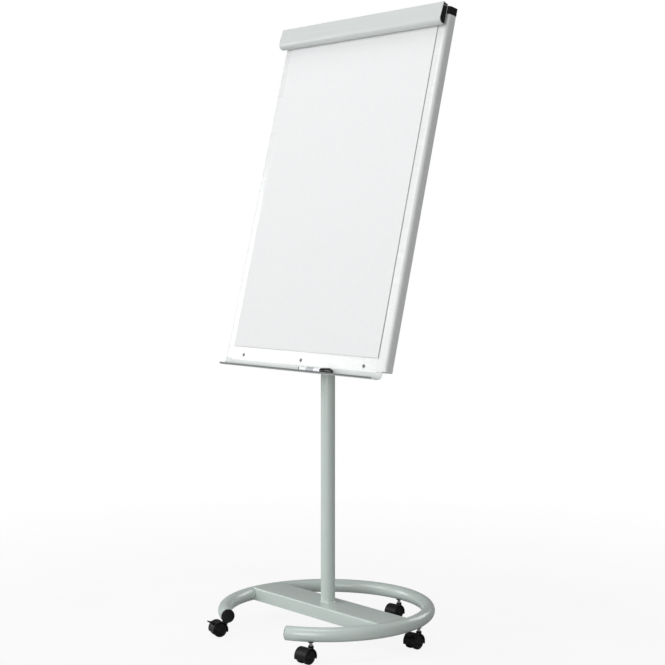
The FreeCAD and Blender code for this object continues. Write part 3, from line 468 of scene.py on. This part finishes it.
def hand_over(thing, slot, body, material=None):
    """Finish a piece: smooth shading, a material (the slot's own unless one is given), and the body that it moves
    with.
    """
    thing.data.materials.clear()
    thing.data.materials.append(material or MATERIALS[slot])
    for polygon in thing.data.polygons:
        polygon.use_smooth = True
    thing.data.set_sharp_from_angle(angle=SMOOTH_BELOW)
    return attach(thing, body)


def drum(centre, radius, length, sides=32):
    """A cutter along Y: a round or, with six sides, a hexagonal bar."""
    shape = bmesh.new()
    bmesh.ops.create_cone(shape, cap_ends=True, segments=sides, radius1=radius, radius2=radius,
                          depth=length)
    shape.transform(Matrix.Translation(centre) @ Matrix.Rotation(math.pi / 2, 4, "X"))
    return solid("cutter", shape)


def bar_cutter(centre, size, turn):
    """A cutter of a given X, Y, Z size, turned about Y."""
    shape = bmesh.new()
    bmesh.ops.create_cube(shape, size=1)
    stretch = Matrix.Diagonal((*size, 1))
    shape.transform(Matrix.Translation(centre) @ Matrix.Rotation(turn, 4, "Y") @ stretch)
    return solid("cutter", shape)


def copy_of(node, name):
    """A welded copy of a CAD node's mesh as a new object."""
    shape = bmesh.new()
    shape.from_mesh(frame["nodes"][node].data)
    bmesh.ops.remove_doubles(shape, verts=shape.verts, dist=WELD_GAP)
    return solid(name, shape, Matrix.Identity(4))


def islands(node):
    """The upright boxes of a node's separate solids, from left to right and then upwards."""
    shape = bmesh.new()
    shape.from_mesh(frame["nodes"][node].data)
    shape.transform(UPRIGHT.inverted())
    bmesh.ops.remove_doubles(shape, verts=shape.verts, dist=WELD_GAP)
    left, found = set(shape.verts), []
    while left:
        group, edge = set(), {left.pop()}
        while edge:
            group |= edge
            reached = {link.other_vert(vertex) for vertex in edge for link in vertex.link_edges}
            edge = reached - group
        left -= group
        found.append(corners_of([vertex.co for vertex in group]))
    shape.free()
    return sorted(found, key=lambda box: (round(box[0].x, 3), box[0].z))


RECESS = (4.4 * MM, 2.4 * MM, 0.9 * MM)
FIRST_TURN, TURN_ALONG_BOARD = 0.3, 40
SOCKET, SOCKET_DEPTH = 2.3 * MM, 4 * MM


def screw_heads():
    """The tray's screws with a cross recess in each domed head."""
    thing = copy_of("tray_screws", "cross_screws")
    cutters = []
    for low, high in islands("tray_screws"):
        middle = (low + high) / 2
        face = Vector((middle.x, low.y, middle.z))
        turn = FIRST_TURN + TURN_ALONG_BOARD * middle.x
        for quarter in (0, math.pi / 2):
            cutters.append(bar_cutter(face, RECESS, turn + quarter))
    carve(thing, cutters)
    hand_over(thing, "steel", "board", zinc_plate("dark_zinc", (112, 114, 118), (126, 124, 120)))
    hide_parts("tray_screws")


def bracket_heads():
    """The bracket's bolts with a hexagonal socket in each head."""
    thing = copy_of("bracket_bolts", "socket_bolts")
    cutters = []
    for low, high in islands("bracket_bolts"):
        middle = (low + high) / 2
        face = Vector((middle.x, high.y, middle.z))
        cutters.append(drum(face, SOCKET, SOCKET_DEPTH, sides=6))
    carve(thing, cutters)
    hand_over(thing, "steel", "board")
    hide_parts("bracket_bolts")


def slab(shape, low, high, rows, columns, lift):
    """A thin closed sheet between two corners; lift(u, v) moves both its faces to the front."""
    corner = {}
    for y, row, column in product((low.y, high.y), range(rows + 1), range(columns + 1)):
        u, v = column / columns, row / rows
        x = low.x + u * (high.x - low.x)
        z = low.z + v * (high.z - low.z)
        corner[y, row, column] = shape.verts.new((x, y - lift(u, v), z))
    for y, row, column in product((low.y, high.y), range(rows), range(columns)):
        shape.faces.new([corner[y, row, column], corner[y, row, column + 1],
                         corner[y, row + 1, column + 1], corner[y, row + 1, column]])
    border = [(0, column) for column in range(columns)]
    border += [(row, columns) for row in range(rows)]
    border += [(rows, column) for column in range(columns, 0, -1)]
    border += [(row, 0) for row in range(rows, 0, -1)]
    for here, there in zip(border, border[1:] + border[:1]):
        shape.faces.new([corner[low.y, *here], corner[low.y, *there],
                         corner[high.y, *there], corner[high.y, *here]])


PAD_SHEETS = 9
SHEET = 0.18 * MM
CARD = 0.8 * MM
CURL = 0.75 * MM
PUNCHED = 4 * MM


def curl(u, v):
    """How far the top sheet lifts, 0 to 1: at its lower corners, and in slow waves along it."""
    corner = max(0.0, 1 - v / 0.14) ** 2 * abs(2 * u - 1) ** 5
    wave = 0.5 + 0.5 * math.sin(7 * u + 2.2 * math.sin(4 * v))
    return 0.75 * corner + 0.25 * wave * (1 - v) ** 0.5


def paper_stack():
    """The pad: a grey card and loose white sheets, punched for the pegs, each a hair out of line; the card's grey
    rim round the sheets is partly painted shade along the pad's edge.
    """
    low, high = upright_box("paper_pad")
    pegs = [(box_low + box_high) / 2 for box_low, box_high in islands("pad_pegs")]
    draw = random.Random(7)
    card = bmesh.new()
    back = high.y - 0.05 * MM
    # The card stands a little past the sheets; its grey rim is the pad's backing and also painted shade along the
    # pad's edge.
    slab(card, Vector((low.x, back - CARD, low.z)), Vector((high.x, back, high.z)), 2, 2, lambda u, v: 0)
    sheets = bmesh.new()
    for count in range(PAD_SHEETS):
        rear = back - CARD - 0.02 * MM - count * (SHEET + 0.01 * MM)
        shift = Vector((draw.uniform(0.2, 0.9), 0, draw.uniform(0.2, 0.9))) * MM
        front_low = Vector((low.x, rear - SHEET, low.z)) + shift
        rear_high = Vector((high.x - 1.1 * MM, rear, high.z - 1.1 * MM)) + shift
        share = CURL * (count + 1) / PAD_SHEETS
        slab(sheets, front_low, rear_high, 42, 30, lambda u, v: share * curl(u, v))
    for name, shape, material in (("pad_backing", card, grey_card_rim_shade()), ("pad_sheets", sheets, None)):
        thing = solid(name, shape)
        carve(thing, [drum(peg, PUNCHED, 30 * MM) for peg in pegs])
        hand_over(thing, "paper", "board", material)
        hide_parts("paper_pad")


LIP_BEAD = 1.9 * MM
LIP_RIBS, RIB_RISE = 7, 0.07
LIP_STEPS = 56
LIP_DEPTH = 1.2 * MM
LIP_OFFSET = Vector((0, 0.5, -0.3)) * MM
TIP_LENGTH, TIP_SHARE = 1.5 * MM, 0.72
BARE_END = 15 * MM


def lip_centre():
    """The middle of the tray's front lip, where the grey bead of painted shade sits."""
    front = upright_box("pen_tray")[0].y
    rim = [point for point in upright_points("pen_tray") if point.y < front + LIP_DEPTH]
    return sum(rim, Vector()) / len(rim) + LIP_OFFSET


def ribbed_ring(shape, centre, x, share):
    """One ribbed cross-section of the painted-shade bead at a place along the tray."""
    ring = []
    for step in range(LIP_STEPS):
        angle = 2 * math.pi * step / LIP_STEPS
        reach = LIP_BEAD * (1 + RIB_RISE * math.cos(LIP_RIBS * angle)) * share
        ring.append(shape.verts.new((x, centre.y + reach * math.cos(angle),
                                     centre.z + reach * math.sin(angle))))
    return ring


def lip_shade_bead():
    """A ribbed mid-grey bead on the tray's front lip, painted shade for the shadow under the lip; it stops short
    of the right-hand end.
    """
    low, high = upright_box("pen_tray")
    centre = lip_centre()
    left, right = low.x, high.x - BARE_END
    shape = bmesh.new()
    rings = [ribbed_ring(shape, centre, x, share) for x, share in (
        (left, TIP_SHARE), (left + TIP_LENGTH, 1), (right - TIP_LENGTH, 1), (right, TIP_SHARE))]
    for here, there in zip(rings, rings[1:]):
        for step in range(LIP_STEPS):
            after = (step + 1) % LIP_STEPS
            shape.faces.new([here[step], here[after], there[after], there[step]])
    shape.faces.new(rings[0])
    shape.faces.new(rings[-1])
    # The bead's mid-grey is painted shade: a dark strip put where the lip's underside falls in shadow.
    hand_over(solid("lip_shade_bead", shape), "grip", "board", lip_shade_tone())


# The clip's outline in millimetres: back from the cap's end, and out from its surface.
CLIP_OUTLINE = [(1.5, -1.5), (1.5, 1.7), (3, 2.5), (31, 2.1), (34, 1.3), (34.6, 0.7), (32, 0.3),
                (29.5, 1.1), (5, 1.4), (5, -1.5)]
CLIP_HALF = 2.1 * MM
CLIP_LEAN = math.radians(40)


def marker_clip():
    """A springy clip moulded on the marker's cap, on its upper front side."""
    low, high = upright_box("marker_cap")
    middle = (low + high) / 2
    radius = (high.z - low.z) / 2
    shape = bmesh.new()
    sides = [[shape.verts.new((high.x - along * MM, side, radius + out * MM))
              for along, out in CLIP_OUTLINE] for side in (-CLIP_HALF, CLIP_HALF)]
    for side in sides:
        shape.faces.new(side)
    for index in range(len(CLIP_OUTLINE)):
        after = (index + 1) % len(CLIP_OUTLINE)
        shape.faces.new([sides[0][index], sides[0][after], sides[1][after], sides[1][index]])
    lean = Matrix.Rotation(CLIP_LEAN, 4, "X")
    shape.transform(Matrix.Translation((0, middle.y, middle.z)) @ lean)
    thing = solid("marker_clip", shape)
    hand_over(thing, "marker_top", "marker_cap")
    soften(thing, 0.35 * MM)


screw_heads()
bracket_heads()
paper_stack()
lip_shade_bead()
marker_clip()


# ---------------------------------------------------------------- stage

FADE_FROM, FADE_TO = 0.9, 2.4
FLOOR_REACH = 30.0
FLOOR_GLOW = 0.93


def floor():
    """Pale matt paper under the easel that fades into the white backdrop."""
    paper = Recipe("floor_paper")
    seen = paper.node("LightPath", "Is Camera Ray")
    pale = paper.mixed(paper.noise(300 * MM), paint(249, 249, 249), paint(252, 252, 252))
    paper.finish(paper.mixed(seen, paint(186, 186, 186), pale), 0.9, Specular_IOR_Level=0.0)
    glow = paper.node("Emission", Color=pale)
    shaded = paper.tree.nodes.new("ShaderNodeMixShader")
    paper.feed(shaded.inputs[0], paper.sum("MULTIPLY", seen, FLOOR_GLOW))
    paper.feed(shaded.inputs[1], paper.shader.outputs[0])
    paper.feed(shaded.inputs[2], glow)
    reach = paper.tree.nodes.new("ShaderNodeVectorMath")
    reach.operation = "LENGTH"
    paper.feed(reach.inputs[0], paper.place)
    far = paper.span(reach.outputs["Value"], FADE_FROM, FADE_TO)
    blend = paper.tree.nodes.new("ShaderNodeMixShader")
    paper.feed(blend.inputs[0], paper.sum("MULTIPLY", far, seen))
    paper.feed(blend.inputs[1], shaded.outputs[0])
    paper.feed(blend.inputs[2], paper.node("BsdfTransparent"))
    paper.feed(paper.tree.nodes["Material Output"].inputs["Surface"], blend.outputs[0])
    mesh = bpy.data.meshes.new("floor")
    square = ((-1, -1), (1, -1), (1, 1), (-1, 1))
    corners = [(x * FLOOR_REACH, y * FLOOR_REACH, 0) for x, y in square]
    mesh.from_pydata(corners, [], [(0, 1, 2, 3)])
    mesh.materials.append(paper.material)
    plane = bpy.data.objects.new("floor", mesh)
    scene.collection.objects.link(plane)


def sky(seen, given):
    """An even world: one brightness where the camera sees it and another as a light."""
    world = bpy.data.worlds.new("studio")
    world.use_nodes = True
    tree = world.node_tree
    ray = tree.nodes.new("ShaderNodeLightPath")
    level = tree.nodes.new("ShaderNodeMapRange")
    level.inputs["To Min"].default_value = given
    level.inputs["To Max"].default_value = seen
    tree.links.new(ray.outputs["Is Camera Ray"], level.inputs["Value"])
    tree.links.new(level.outputs["Result"], tree.nodes["Background"].inputs["Strength"])
    tree.nodes["Background"].inputs["Color"].default_value = (1, 1, 1, 1)
    scene.world = world


AIM = Vector((0, 0, 0.9))


def lamp(name, azimuth, elevation, distance, size, level):
    """A square soft panel; a white card facing it gets this brightness. Azimuth 0 is in front."""
    light = bpy.data.lights.new(name, "AREA")
    light.size = size
    light.energy = level * (math.pi * distance) ** 2
    around, up = math.radians(azimuth), math.radians(elevation)
    toward = Vector((math.sin(around) * math.cos(up), -math.cos(around) * math.cos(up),
                     math.sin(up)))
    holder = bpy.data.objects.new(name, light)
    holder.location = AIM + distance * toward
    holder.rotation_euler = toward.to_track_quat("Z", "Y").to_euler()
    scene.collection.objects.link(holder)


CAMERA_PLACE = (3.2231, -2.6802, 1.0900)
CAMERA_SHIFT = -0.1294
CAMERA_YAW = math.radians(50.08)
CAMERA_LENS = 80.66


def camera():
    """A level camera at the photograph's angle, its lens shifted down to frame the easel."""
    lens = bpy.data.cameras.new("camera")
    lens.sensor_width = 36
    lens.lens = CAMERA_LENS
    holder = bpy.data.objects.new("camera", lens)
    holder.location = CAMERA_PLACE
    holder.rotation_euler = (math.radians(90), 0, CAMERA_YAW)
    scene.collection.objects.link(holder)
    scene.camera = holder
    shift_only_at_home(lens, holder)


def shift_only_at_home(lens, holder):
    """Drop the shift for other views: those turn the camera by quaternion and aim at the middle."""
    curve = lens.driver_add("shift_y")
    curve.driver.type = "SUM"
    mode = curve.driver.variables.new()
    mode.targets[0].id = holder
    mode.targets[0].data_path = "rotation_mode"
    while curve.modifiers:
        curve.modifiers.remove(curve.modifiers[0])
    curve.keyframe_points.clear()
    for euler, shift in ((0, 0.0), (1, CAMERA_SHIFT)):
        curve.keyframe_points.insert(euler, shift).interpolation = "LINEAR"


floor()
sky(seen=1.0, given=0.20)
lamp("key", azimuth=-20, elevation=30, distance=5, size=2.6, level=0.32)
lamp("front", azimuth=30, elevation=6, distance=5, size=2.2, level=0.36)
lamp("left", azimuth=-60, elevation=8, distance=5, size=2.2, level=0.25)
lamp("top", azimuth=20, elevation=80, distance=4, size=2.4, level=0.36)
lamp("back", azimuth=180, elevation=20, distance=5, size=2.2, level=0.22)
camera()
scene.view_settings.view_transform = "Standard"
